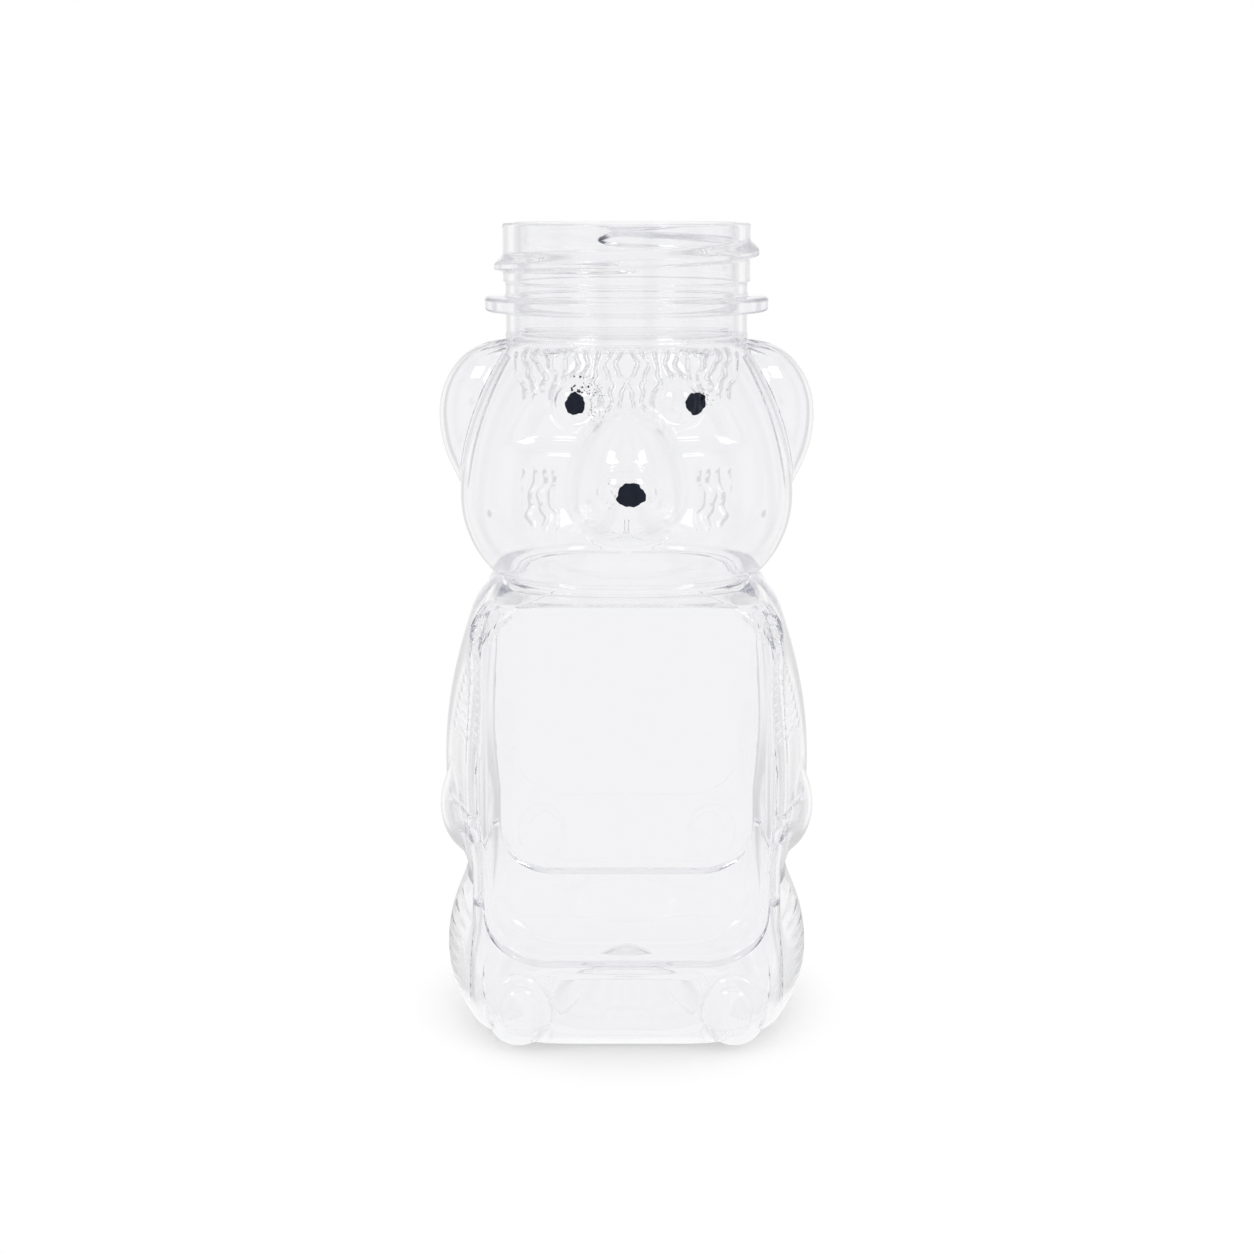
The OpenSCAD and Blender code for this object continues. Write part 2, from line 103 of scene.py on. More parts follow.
def mix(a, b, v):
    """a where v is 0, b where v is 1, and a straight line between."""
    return a + (b - a) * v


def blend(a, b, k):
    """The larger of two radii, with a parabola as fillet where they are within k."""
    return np.maximum(a, b) + np.maximum(k - np.abs(a - b), 0) ** 2 / (4 * k)


def ridge(d, w):
    """A bump of height 1 at d = 0 that falls off as exp(-(d/w)^2)."""
    return np.exp(-((d / w) ** 2))


def oval(c, s, a, b, n):
    """Radius of a superellipse: (|c|/a)^n + (|s|/b)^n to the power -1/n."""
    return ((np.abs(c) / a) ** n + (np.abs(s) / b) ** n) ** (-1 / n)


def rounded_box(c, s, a, b, r):
    """Radius of a rectangle a by b with corner arcs of radius r, along the ray (c, s)."""
    flat = np.minimum(a / np.maximum(c, 1e-3), b / np.maximum(np.abs(s), 1e-3))
    corner = (c * flat > a - r) & (np.abs(s) * flat > b - r)
    m = c * (a - r) + np.abs(s) * (b - r)
    under = np.maximum(0, m * m - (a - r) ** 2 - (b - r) ** 2 + r * r)
    return np.where(corner, m + np.sqrt(under), flat)


def barrel(z, widest_z, w, r_down, r_up):
    """Half-width of a form w wide at widest_z, with one arc below and another above."""
    r = np.where(z < widest_z, r_down, r_up)
    return w - r + np.sqrt(np.maximum(0, r * r - (z - widest_z) ** 2))


def lobe(c, s, z, form):
    """Radius at which a ray leaves an ellipsoid: the larger root of its quadratic, or 0.

    The form is its centre, its half-axes along x, y and up, and its half-axis down.
    """
    centre, half, under = form
    rz = np.where(z > centre[2], half[2], under)
    k = np.maximum(1 - ((z - centre[2]) / rz) ** 2, 1e-9)
    ax, ay = half[0] * np.sqrt(k), half[1] * np.sqrt(k)
    qa = (c / ax) ** 2 + (s / ay) ** 2
    qb = c * centre[0] / ax**2 + s * centre[1] / ay**2
    qc = (centre[0] / ax) ** 2 + (centre[1] / ay) ** 2 - 1
    q = qb * qb - qa * qc
    far = (qb + np.sqrt(np.maximum(q, 0))) / qa
    return np.where((q > 0) & (k > 1e-4), np.maximum(0, far), 0)


# %% [markdown]
# ### The head
# A rounded skull with flat round ears, a dished eye mask, a snout and a nose tip. The crease
# under the chin closes it, and the neck's root cuts it off level above. The skull's outline is
# two arcs on each side, a tight one below the cheek's widest height and a long one above.

# %% The head's form
face_out, nape_out, head_half, skull_power = 21.9, 21.6, 23.75, 2.25
side_arcs, face_arcs, nape_arcs = (14.9, 34.9), (18.8, 60), (18.8, 54)
crease_half, crease_power, crease_above = (17.7, 17.5), 2.3, 1.5
cheek_z, face_z = crease_z + 11.6, crease_z + 12.2
root_lead, root_turn, root_fillet = 0.7, 0.8, 0.3
mask_z, mask_half, mask_slope, mask_soft, mask_depth = crease_z + 19.6, 16.5, 0.36, 3.4, 1.3
ear_half, ear_h, ear_share = 9.2, 23.5, 0.445
ear_over = ear_h * ear_share
ear = ((half_w - ear_half, 0, root_z - 0.4 - ear_over), (ear_half, 5, ear_over), ear_h - ear_over)
eye_x, eye_z, eye_r = 6.9, crease_z + 26.2, 3.6
eye_ball = ((eye_x, 6.3 - face_out, eye_z), (eye_r, eye_r, eye_r), eye_r)
snout_out, snout_z, nose_z = 26.8, crease_z + 14.1, crease_z + 15.2
snout = ((0, 9.3 - snout_out, snout_z), (8.2, 9.3, 12), 7.2)
nose_tip = ((0, 1.6 - snout_out, nose_z), (4.2, 2.6, 3.6), 3.4)
head_lobes = ((ear, 1), (eye_ball, 0.6), (snout, 1.5), (nose_tip, 0.8))


def crease(c, s):
    """Section of the crease under the chin, which head and torso share."""
    return oval(c, s, *crease_half, crease_power)


def eye_mask(c, s, z):
    """1 inside the dished eye mask of the face and 0 outside, with eased edges."""
    edge = mask_half - mask_slope * (z - mask_z)
    rise = between(z, mask_z, root_z + 1.2, 1.8, 2.4)
    return np.where(s > 0, 0, rise * ease((edge - c * face_out) / mask_soft))


def head_form(c, s, z):
    """Skull of two barrels, cut level at the neck's root, with lobes blended on."""
    side = barrel(z, cheek_z, head_half, *side_arcs)
    front = barrel(z, face_z, face_out, *face_arcs)
    rear = barrel(z, face_z, nape_out, *nape_arcs)
    skull = oval(c, s, side, np.where(s < 0, front, rear), skull_power)
    skull = skull - mask_depth * eye_mask(c, s, z)
    cut = ease((z - root_z + root_lead) / root_turn)
    form = blend(mix(skull, neck_r, cut), neck_r, root_fillet)
    for part, fillet in head_lobes:
        form = blend(form, lobe(c, s, z, part), fillet)
    return mix(crease(c, s), form, ease((z - crease_z) / crease_above))


# %% [markdown]
# ### The body
# A box with rounded corners, arms and legs swelling from its sides, and a flat label panel in
# front and behind. The panels are planed off the box, and the shoulders fall back beside them.
# The toes come last, because they stand out in front of the panel. The lower edge is an arc that
# rolls in to the floor.

# %% The body's form
body_half, edge_r, push_up, stand_share = (21.5, 22.1), 6, 8, 0.86
corner_r, corner_grow, corner_foot = 3, 4.5, 10
panel_half, panel_r, panel_top_r = (19.85, 20.5), 9, 6
panel_high, panel_in, panel_soft = crease_z - 0.3, 0.5, 0.6
shoulder_z, shoulder_h, shoulder_step, shoulder_slope = crease_z - 8, 8, 0.4, 2.2
side_draw, crease_below = 5.5, 1
foot_x, foot_z, foot_out, foot_fillet = 15.2, 6.5, 23.8, 1
arm_z, paw_z, thigh_z = knee_z + 16.4, knee_z + 11.8, knee_z - 11.5
arm = ((half_w - 10.7, 0, arm_z), (10.4, 23, crease_z - 0.9 - arm_z), 19.9)
paw = ((half_w - 5.55, -10.5, paw_z), (5.4, 5.8, 7.5), 7.4)
thigh = ((half_w - 10.55, -1, thigh_z), (10.3, 20.5, 14.5), thigh_z + 2.1)
foot = ((foot_x, 4 - foot_out, foot_z), (5, 4, 6.1), 5.4)
body_lobes = ((arm, 4), (paw, 0.8), (thigh, 4))


def panel_edge(x, z, half):
    """Distance from the label panel's edge, negative inside: a rounded rectangle's."""
    h = panel_high - panel_low
    r = np.where(z > panel_low + h / 2, panel_top_r, panel_r)
    u = np.abs(x) - half + r
    v = np.abs(z - panel_low - h / 2) - h / 2 + r
    return np.hypot(np.maximum(u, 0), np.maximum(v, 0)) + np.minimum(np.maximum(u, v), 0) - r


def planed(c, s, z, r):
    """The form planed to the flat label panels, and to shoulders that fall back beside them.

    A shoulder steps 1 mm back from the panel's edge and then falls in proportion to the distance.
    """
    deep = np.maximum(np.abs(s), 0.1)
    flat = (body_half[1] - panel_in) / deep
    half = np.where(s < 0, *panel_half)
    high = ease((z - shoulder_z) / (shoulder_h / 2))
    past = np.maximum(panel_edge(c * np.minimum(flat, r), z, half), 0)
    fall = panel_in + ease(past / shoulder_step) + shoulder_slope * past
    shoulder = np.maximum((body_half[1] - fall * high) / deep, crease(c, s))
    on_panel = ease(-panel_edge(c * flat, z, half) / panel_soft)
    return mix(np.minimum(r, shoulder), np.minimum(r, flat), on_panel)


def meeting(t):
    """Height where torso and base meet: along the panels' lower outline, then along the notch."""
    c, s = np.abs(np.cos(t)), np.sin(t)
    x = c * (body_half[1] - panel_in) / np.maximum(np.abs(s), 0.1)
    half = np.where(s < 0, *panel_half)
    u = np.clip(x - half + panel_r, 0, panel_r)
    arc = panel_low + panel_r - np.sqrt(panel_r**2 - u**2)
    return np.where(x < half, np.minimum(knee_z, arc), knee_z)


def body_form(c, s, z, toes):
    """Rounded box with rolled edges, lobes blended on, planed, and drawn in to the crease."""
    up = np.clip(z, 0, edge_r)
    edge = edge_r - np.sqrt(edge_r**2 - (edge_r - up) ** 2)
    top = np.maximum(0, (z - crease_z + side_draw) / side_draw) ** 2
    a = body_half[0] - edge - (body_half[0] - crease_half[0]) * top
    grow = ease(1 - z / corner_foot) + ease((z - shoulder_z) / shoulder_h)
    form = rounded_box(c, s, a, body_half[1] - edge, corner_r + edge / 2 + corner_grow * grow)
    for part, fillet in body_lobes:
        form = blend(form, lobe(c, s, z, part), fillet)
    form = planed(c, s, z, form)
    if toes:
        form = blend(form, lobe(c, s, z, foot), foot_fillet)
    return mix(form, crease(c, s), ease((z - crease_z + crease_below) / crease_below))


def bear_form(t, z, toes=True):
    """Radius of the bear's smooth outside at angle t and height z, with or without its toes."""
    c, s = np.abs(np.cos(t)), np.sin(t)
    return np.where(z > crease_z, head_form(c, s, z), body_form(c, s, z, toes))


# %% [markdown]
# ## Relief
# The mould's surface carries fur locks, the mouth, the soles and the folds of the paws. A bump
# map would only shade them, and clear plastic shows hardly any shading. So each is a small depth
# cut into the radius, worked out from where the point lies: real geometry that bends light. The
# inside of a blown wall stays smooth. In the functions ax is the distance to the side of the
# bear's middle, and every depth is in millimetres.

# %% Relief on the head
lock_half, brow_cut, cheek_cut = 0.24, 0.32, 0.24
brow_z, brow_half, brow_fan = crease_z + 23.8, 15.4, 6
# Pitch, wander and length of the locks over the brows and on the cheeks.
brow_locks, cheek_locks = (1.6, 0.45, 6.6), (1.5, 0.45, 8)
cheek_side, cheek_rise = (8.9, 14.6), (crease_z + 8.6, crease_z + 18.6)
# Each ring round an eye is its radius, half its groove's width and its depth.
socket_rings = ((3.5, 0.24, 0.14), (2.5, 0.22, 0.12))
split_rise, split_half, split_cut = (crease_z + 8.6, crease_z + 12.6), 0.25, 0.25
mouth_z, mouth_half, mouth_curve, mouth_cut = crease_z + 8.5, 6.4, 1.3, 0.28
dimple_x, dimple_z, dimple_r, dimple_cut = 18.4, crease_z + 10.9, 0.3, 0.2


def locks(u, v, pitch, wave, length):
    """Grooves one pitch apart along u, from 0 to 1, which wander by wave as they run along v."""
    turn = 2 * np.pi / length
    sway = np.sin(turn * v + 0.5 * u) + 0.5 * np.sin(1.9 * turn * v - 0.7 * u + 1)
    sway = sway + 0.3 * np.sin(3.3 * turn * v + u)
    lane = (u + wave * sway) / pitch
    return ridge((lane - np.floor(lane) - 0.5) * pitch, lock_half)


def face_fur(ax, z, socket):
    """Depth of the locks that fan out over the brows, clear of the eyes, and of the cheeks'."""
    brow = between(z, brow_z + 0.12 * ax, root_z - 0.6, 2, 0.5) * ease((brow_half - ax) / 1.5)
    fan = 0.25 * np.maximum(0, ax - brow_fan) * (root_z - 0.3 - z) / 12
    brow = brow * ease(socket - 2.6) * locks(ax + fan, z, *brow_locks)
    cheek = between(ax, *cheek_side, 0.6, 1) * between(z, *cheek_rise, 2, 1.5)
    return brow_cut * brow + cheek_cut * cheek * locks(ax, z, *cheek_locks)


def mouth_lines(ax, z):
    """Depth of the muzzle's split, of a mouth of two curves and of a dimple on each cheek."""
    split = ridge(ax, split_half) * between(z, *split_rise, 0.8, 1)
    line_z = mouth_z + mouth_curve * np.abs(ax / 3 - 1) ** 1.5
    mouth = ridge(z - line_z, 0.22) * ease(mouth_half - ax)
    dimple = ridge(np.hypot(ax - dimple_x, (z - dimple_z) / 2), dimple_r)
    return split_cut * split + mouth_cut * mouth + dimple_cut * dimple


def head_relief(x, y, z):
    """Fur, eye sockets, split, mouth and dimples of the face, as a signed height."""
    ax = np.abs(x)
    socket = np.hypot(ax - eye_x, z - eye_z)
    rings = sum(cut * ridge(socket - r, half) for r, half, cut in socket_rings)
    return -ease(-y / 4) * (face_fur(ax, z, socket) + rings + mouth_lines(ax, z))


# %% Relief on the body
arm_fur_rise, arm_fur_pitch = (knee_z + 22.6, crease_z - 3.4), 1.42
arm_line, arm_draw, arm_tooth, arm_inner = 24.6, 4.5, 0.5, 19.9
arm_fur_end, edge_cut, strand_cut = 0.84, 0.17, 0.07
paw_x, pad_z, pad_half, pad_cut = 22, knee_z + 10.2, (1.6, 1.1), 0.25
fold_z, fold_side, fold_cut = knee_z + 13, (20.3, 25.4), 0.18
leg_x, leg_half, leg_rise, leg_inner, leg_rays, leg_cut = 16.5, (9.5, 12.5), (2.5, 20.4), 20.6, 30, 0.07
toe_half, toe_pad_half, toe_cut, toe_pad_cut = (4.7, 5.6), (2.8, 3.6), 0.3, 0.15
band_half, band_z, band_narrow_z, band_cut = 11.2, 12.4, 9.5, 0.4


def arm_fur(ax, z):
    """Depth of the saw-toothed edge that climbs along the arm, and of the strands beside it."""
    run = (z - arm_fur_rise[0]) / (arm_fur_rise[1] - arm_fur_rise[0])
    ends = ease(run * 12) * ease((arm_fur_end - run) * 12)
    saw = (z - 0.35 * ax) / arm_fur_pitch
    saw = saw - np.floor(saw)
    line = arm_line - arm_draw * np.clip(run, 0, 1) ** 1.3 + arm_tooth * (saw - 0.5)
    past = np.maximum(line - ax, 0)
    edge = ends * np.sin(np.pi * saw) ** 2 * ease(past / 0.3) * np.exp(-past / 0.4)
    strand = ends * between(ax, arm_inner, line - 0.6, 0.4, 0.8)
    strand = strand * locks(z - 0.7 * ax, ax, arm_fur_pitch, 0.3, 4)
    return edge_cut * edge + strand_cut * strand


def paw_folds(ax, z):
    """Depth of the paw's pad and of the curved fold over it."""
    pad = 1 - ease(np.hypot((ax - paw_x) / pad_half[0], (z - pad_z) / pad_half[1]) - 0.4)
    fold = ridge(z - fold_z - 0.12 * (ax - paw_x) ** 2, 0.3) * between(ax, *fold_side, 0.6, 1)
    return pad_cut * pad + fold_cut * fold


def leg_fur(ax, y, z):
    """Depth of the rays of fur round the outer side of the thigh."""
    reach = np.hypot((ax - leg_x) / leg_half[0], (z - thigh_z) / leg_half[1])
    turn = np.arctan2(z - thigh_z, ax - leg_x)
    leg = ease((reach - 0.78) / 0.1) * between(z, *leg_rise, 2, 2)
    leg = leg * ease((ax - leg_inner) / 1.2) * ease((-y - 2) / 5)
    return leg_cut * leg * (0.5 + 0.5 * np.sin(leg_rays * turn + 12 * reach)) ** 5


def foot_lines(ax, z):
    """Depth of the toes' outline, of the pad on each sole and of the band between the feet.

    Outline and pad are ellipses, and 5 and 3.2 are their mean half-axes in millimetres.
    """
    toe = np.hypot((ax - foot_x) / toe_half[0], (z - foot_z) / toe_half[1])
    toe = ridge((toe - 1) * 5, 0.22) * ease((z - 1.5) / 2)
    pad = np.hypot((ax - foot_x + 0.4) / toe_pad_half[0], (z - foot_z - 0.3) / toe_pad_half[1])
    pad = ridge((pad - 1) * 3.2, 0.22)
    side = band_half - 0.4 * np.maximum(0, z - band_narrow_z)
    band = ease(band_z - z) * ease((side - ax) / 0.7) * ease(z / 2)
    return toe_cut * toe + toe_pad_cut * pad + band_cut * band


def body_relief(x, y, z):
    """Arm and leg fur, paw folds, soles and the band between the feet, as a signed height."""
    ax = np.abs(x)
    cut = arm_fur(ax, z) + paw_folds(ax, z) + leg_fur(ax, y, z) + foot_lines(ax, z)
    return -ease(-y / 3) * cut


def bear_relief(t, z, r):
    """Relief of the whole bear at a point of its outside."""
    x, y = r * np.cos(t), r * np.sin(t)
    return np.where(z > crease_z, head_relief(x, y, z), body_relief(x, y, z))


# %% [markdown]
# ## From functions to meshes
# A shell is one closed skin: rings of points climb the outside and come down the inside. All rings
# have as many points, crowded where the surface has most to show. The inside is the smooth form
# moved in by the wall along its normal. Blender's Solidify modifier could give the wall too, but it
# would carry the fur through to the inside. Where two zones meet, the cut slopes through the wall
# as a scarf, so that light passes the seam nearly as it passes the one wall of the real bottle.

# %% Grids
level_h = 1.5


def spread(low, high, count, humps):
    """count + 1 values from low to high, crowded round each (centre, half-width, weight) hump."""
    v = np.linspace(low, high, 4001)
    density = np.ones_like(v)
    for mid, half, weight in humps:
        density = density + weight * np.exp(-(((v - mid) / half) ** 4))
    share = np.concatenate([[0], np.cumsum((density[1:] + density[:-1]) / 2)])
    return np.interp(np.linspace(0, share[-1], count + 1), share, v)


def turns(count, humps):
    """Angles round the axis, starting at the back, with humps given in degrees from the front."""
    both = [(np.radians(side * mid), np.radians(half), w) for mid, half, w in humps for side in (-1, 1)]
    return spread(-np.pi, np.pi, count, both)[:-1] - np.pi / 2


def at(t, r, z):
    """Points at angle t, radius r and height z."""
    return np.stack([r * np.cos(t), r * np.sin(t), z + 0 * r], axis=-1)


def unit(v):
    """The vectors at length 1."""
    return v / np.linalg.norm(v, axis=-1, keepdims=True)


def normals(surface, t, v, step_t=0.004, step_v=0.08):
    """Unit normals of surface(t, v), from the cross product of its two slopes."""
    along = surface(t + step_t, v) - surface(t - step_t, v)
    up = surface(t, v + step_v) - surface(t, v - step_v)
    return unit(np.cross(along, up))


def levelled(normal, z, low, high):
    """Normals turned level near a zone's ends, so that its cuts keep their heights."""
    upright = between(z, low, high, level_h, level_h)
    return unit(normal * np.stack([np.ones_like(upright), np.ones_like(upright), upright], axis=-1))


# %% A skin from rings of points
sharp_angle = 58


def shell(rings, poles=None):
    """Points and faces of one closed skin. Without poles the last ring joins the first again."""
    rows, cols = rings.shape[:2]
    index = np.arange(rows * cols).reshape(rows, cols)
    low, high = (index, np.roll(index, -1, axis=0)) if poles is None else (index[:-1], index[1:])
    quads = np.stack([low, np.roll(low, -1, axis=1), np.roll(high, -1, axis=1), high], axis=-1)
    faces = quads.reshape(-1, 4).tolist()
    points = rings.reshape(-1, 3)
    if poles is not None:
        points = np.vstack([points, poles])
        first, last = rows * cols, rows * cols + 1
        faces += [[first, b, a] for a, b in zip(index[0], np.roll(index[0], -1))]
        faces += [[last, a, b] for a, b in zip(index[-1], np.roll(index[-1], -1))]
    return points, faces


def skin(name, *shells):
    """Mesh object from one or more closed shells."""
    points, faces = [], []
    for shell_points, shell_faces in shells:
        start = len(points)
        points += (shell_points * MM).tolist()
        faces += [[start + i for i in face] for face in shell_faces]
    mesh = bpy.data.meshes.new(name)
    mesh.from_pydata(points, [], faces)
    mesh.shade_smooth()
    mesh.set_sharp_from_angle(angle=np.radians(sharp_angle))
    mesh.update()
    piece = bpy.data.objects.new(name, mesh)
    bpy.context.collection.objects.link(piece)
    print(f"{name}: {sum(len(f) - 2 for f in faces)} triangles")
    return piece


# %% [markdown]
# ## Camera, light and ground
# The photograph is a plain product shot on white. The camera stands 0.3 m away and looks 11.6
# degrees down. Clear plastic shows only what it bends and mirrors, and in an evenly white room it
# would vanish. So the room has darker gaps between its walls, seen by way of the plastic alone.
# They give the edge lines that a photographer gets from black cards.

# %% Colours and nodes


def linear(hex_colour):
    """sRGB hex such as #0d1626 as linear red, green, blue and alpha 1."""
    parts = [int(hex_colour[i : i + 2], 16) / 255 for i in (1, 3, 5)]
    return tuple(((v + 0.055) / 1.055) ** 2.4 if v > 0.04045 else v / 12.92 for v in parts) + (1,)


def add(tree, kind, settings=None, **inputs):
    """Adds a node, sets its attributes and its inputs, and links inputs that are sockets.

    An input is given by its label, or by an underscore and its number.
    """
    node = tree.nodes.new(kind)
    for name, value in (settings or {}).items():
        setattr(node, name, value)
    for name, value in inputs.items():
        key = int(name[1:]) if name[0] == "_" and name[1:].isdigit() else name.replace("_", " ")
        socket = node.inputs[key]
        if isinstance(value, bpy.types.NodeSocket):
            tree.links.new(value, socket)
        else:
            socket.default_value = value
    return node


def blank(material_or_world):
    """The empty node tree of a new material or world, and its output node."""
    material_or_world.use_nodes = True
    tree = material_or_world.node_tree
    tree.nodes.clear()
    is_world = isinstance(material_or_world, bpy.types.World)
    return tree, tree.nodes.new("ShaderNodeOutputWorld" if is_world else "ShaderNodeOutputMaterial")


# %% The camera
look_down = 11.59
view = bpy.data.cameras.new("view")
view.sensor_width = 36
view.lens = 60.43
view.clip_start, view.clip_end = 0.01, 100
camera = bpy.data.objects.new("view", view)
camera.location = (0.00006, -0.3003, 0.1189)
camera.rotation_euler = (np.radians(90 - look_down), 0, 0)
bpy.context.collection.objects.link(camera)
bpy.context.scene.camera = camera
print(f"camera: {view.lens:.1f} mm lens, {look_down} degrees down")

# %% The room
gap_count, gap_tone, sky_tone = 8, 0.76, 0.88
WHITE = (1, 1, 1, 1)
SMOOTH = {"interpolation_type": "SMOOTHSTEP"}


def glass_ray(tree):
    """1 for rays that come from the camera by way of glass or gloss only, otherwise 0."""
    path = add(tree, "ShaderNodeLightPath").outputs
    gloss, glass = path["Is Glossy Ray"], path["Is Transmission Ray"]
    bent = add(tree, "ShaderNodeMath", {"operation": "MAXIMUM"}, _0=gloss, _1=glass).outputs[0]
    direct = add(tree, "ShaderNodeMath", {"operation": "LESS_THAN"}, _0=path["Diffuse Depth"], _1=0.5)
    both = add(tree, "ShaderNodeMath", {"operation": "MULTIPLY"}, _0=bent, _1=direct.outputs[0])
    return both.outputs[0]


def gaps(tree, parts):
    """Brightness round the room: 1 on a white wall and gap_tone in the gaps between the walls."""
    angle = add(tree, "ShaderNodeMath", {"operation": "ARCTAN2"}, _0=parts["X"], _1=parts["Y"])
    times = float(gap_count)
    often = add(tree, "ShaderNodeMath", {"operation": "MULTIPLY"}, _0=angle.outputs[0], _1=times)
    wave = add(tree, "ShaderNodeMath", {"operation": "COSINE"}, _0=often.outputs[0]).outputs[0]
    gap_range = {"From_Min": -0.9, "From_Max": -0.35, "To_Min": gap_tone, "To_Max": 1.0}
    return add(tree, "ShaderNodeMapRange", SMOOTH, Value=wave, **gap_range).outputs[0]


room = bpy.data.worlds.new("room")
bpy.context.scene.world = room
tree, output = blank(room)
direction = add(tree, "ShaderNodeTexCoord").outputs["Generated"]
parts = add(tree, "ShaderNodeSeparateXYZ", _0=direction).outputs
sky_range = {"From_Min": 0.14, "From_Max": 0.4, "To_Min": 1.0, "To_Max": sky_tone}
sky = add(tree, "ShaderNodeMapRange", SMOOTH, Value=parts["Z"], **sky_range).outputs[0]
walls = add(tree, "ShaderNodeMath", {"operation": "MULTIPLY"}, _0=sky, _1=gaps(tree, parts))
factor = glass_ray(tree)
light = add(tree, "ShaderNodeMix", {"data_type": "FLOAT"}, Factor=factor, A=1.0, B=walls.outputs[0])
back = add(tree, "ShaderNodeBackground", Color=WHITE, Strength=light.outputs[0])
tree.links.new(back.outputs[0], output.inputs["Surface"])
print(f"room: {gap_count} gaps at {gap_tone}, sky at {sky_tone} of full white")

# %% The ground
# Two grey strips lie beside the bottle, seen only by way of the plastic, and draw the feet's edges.
strip_tone, ground_half = 0.7, 20
paper = bpy.data.materials.new("white_paper")
tree, output = blank(paper)
place = add(tree, "ShaderNodeTexCoord").outputs["Object"]
parts = add(tree, "ShaderNodeSeparateXYZ", _0=place).outputs
radius = add(tree, "ShaderNodeVectorMath", {"operation": "LENGTH"}, _0=place).outputs["Value"]
aside = add(tree, "ShaderNodeMath", {"operation": "ABSOLUTE"}, _0=parts["X"]).outputs[0]

strip_range = {"From_Min": 0.028, "From_Max": 0.033, "To_Min": 1.0, "To_Max": strip_tone}
enter = add(tree, "ShaderNodeMapRange", SMOOTH, Value=aside, **strip_range).outputs[0]
leave = add(tree, "ShaderNodeMapRange", Value=aside, From_Min=0.055, From_Max=0.07).outputs[0]
strips = add(tree, "ShaderNodeMix", {"data_type": "FLOAT"}, Factor=leave, A=enter, B=1.0).outputs[0]
away = add(tree, "ShaderNodeMapRange", Value=radius, From_Min=0.06, From_Max=0.2).outputs[0]
far = gaps(tree, parts)
walls = add(tree, "ShaderNodeMix", {"data_type": "FLOAT"}, Factor=away, A=strips, B=far).outputs[0]
through = add(tree, "ShaderNodeEmission", Color=WHITE, Strength=walls)

lit = add(tree, "ShaderNodeBsdfDiffuse", Color=linear("#c4c4c4"))
glow = add(tree, "ShaderNodeEmission", Color=WHITE, Strength=0.45)
near = add(tree, "ShaderNodeAddShader", _0=lit.outputs[0], _1=glow.outputs[0])
bright = add(tree, "ShaderNodeEmission", Color=WHITE, Strength=1.0)
fade = add(tree, "ShaderNodeMapRange", SMOOTH, Value=radius, From_Min=0.021, From_Max=0.034)
fade, near, bright = fade.outputs[0], near.outputs[0], bright.outputs[0]
seen = add(tree, "ShaderNodeMixShader", _0=fade, _1=near, _2=bright).outputs[0]
factor = glass_ray(tree)
mixed = add(tree, "ShaderNodeMixShader", _0=factor, _1=seen, _2=through.outputs[0])
tree.links.new(mixed.outputs[0], output.inputs["Surface"])

ground = bpy.data.meshes.new("ground")
square = [(x * ground_half, y * ground_half, 0) for x, y in ((-1, -1), (1, -1), (1, 1), (-1, 1))]
ground.from_pydata(square, [], [(0, 1, 2, 3)])
floor = bpy.data.objects.new("floor", ground)
floor.data.materials.append(paper)
bpy.context.collection.objects.link(floor)

# %% The soft lamps


def soft_lamp(name, place, size, power):
    """A square area lamp that faces the middle of the bottle."""
    data = bpy.data.lights.new(name, "AREA")
    data.size, data.energy = size, power
    lamp = bpy.data.objects.new(name, data)
    lamp.location = place
    aim = np.array([0, 0, 0.06]) - np.array(place)
    flat = np.hypot(aim[0], aim[1])
    lamp.rotation_euler = (np.arctan2(flat, -aim[2]), 0, np.arctan2(-aim[0], aim[1]))
    bpy.context.collection.objects.link(lamp)


for side, name in ((-1, "lamp_left"), (1, "lamp_right")):
    soft_lamp(name, (side * 0.45, -0.5, 0.55), 0.2, 0.5)

# %% Bounces
# Light zigzags inside the clear wall, so paths need very many turns before they leave it.
bounces = 200
cycles = bpy.context.scene.cycles
cycles.max_bounces, cycles.transmission_bounces, cycles.glossy_bounces = bounces, bounces, bounces

# %% [markdown]
# ## Materials
# PET is a polyester that blows into a wall as clear as glass, with an IOR of 1.57. It is blown
# against a polished mould, so its highlights are sharp. A thin-walled glass shader on one surface
# would be quicker, but it wouldn't bend light, and the bending draws every edge here. The plastic
# has a faint grey of its own, which shows where the wall is seen along its length, so a plain
# absorption fills it. The ink is a pad-printed epoxy ink, nearly black with some blue, and
# slightly glossy. Its fine grain is drawn coarser than life, so that it shows.

# %% Clear PET
pet = bpy.data.materials.new("blown_clear_pet")
tree, output = blank(pet)
clear = {"Roughness": 0.015, "IOR": 1.57, "Transmission_Weight": 1.0}
surface = add(tree, "ShaderNodeBsdfPrincipled", Base_Color=linear("#f9f9fa"), **clear)
tree.links.new(surface.outputs[0], output.inputs["Surface"])
depth = add(tree, "ShaderNodeVolumeAbsorption", Color=linear("#dcdce4"), Density=16.0)
tree.links.new(depth.outputs[0], output.inputs["Volume"])

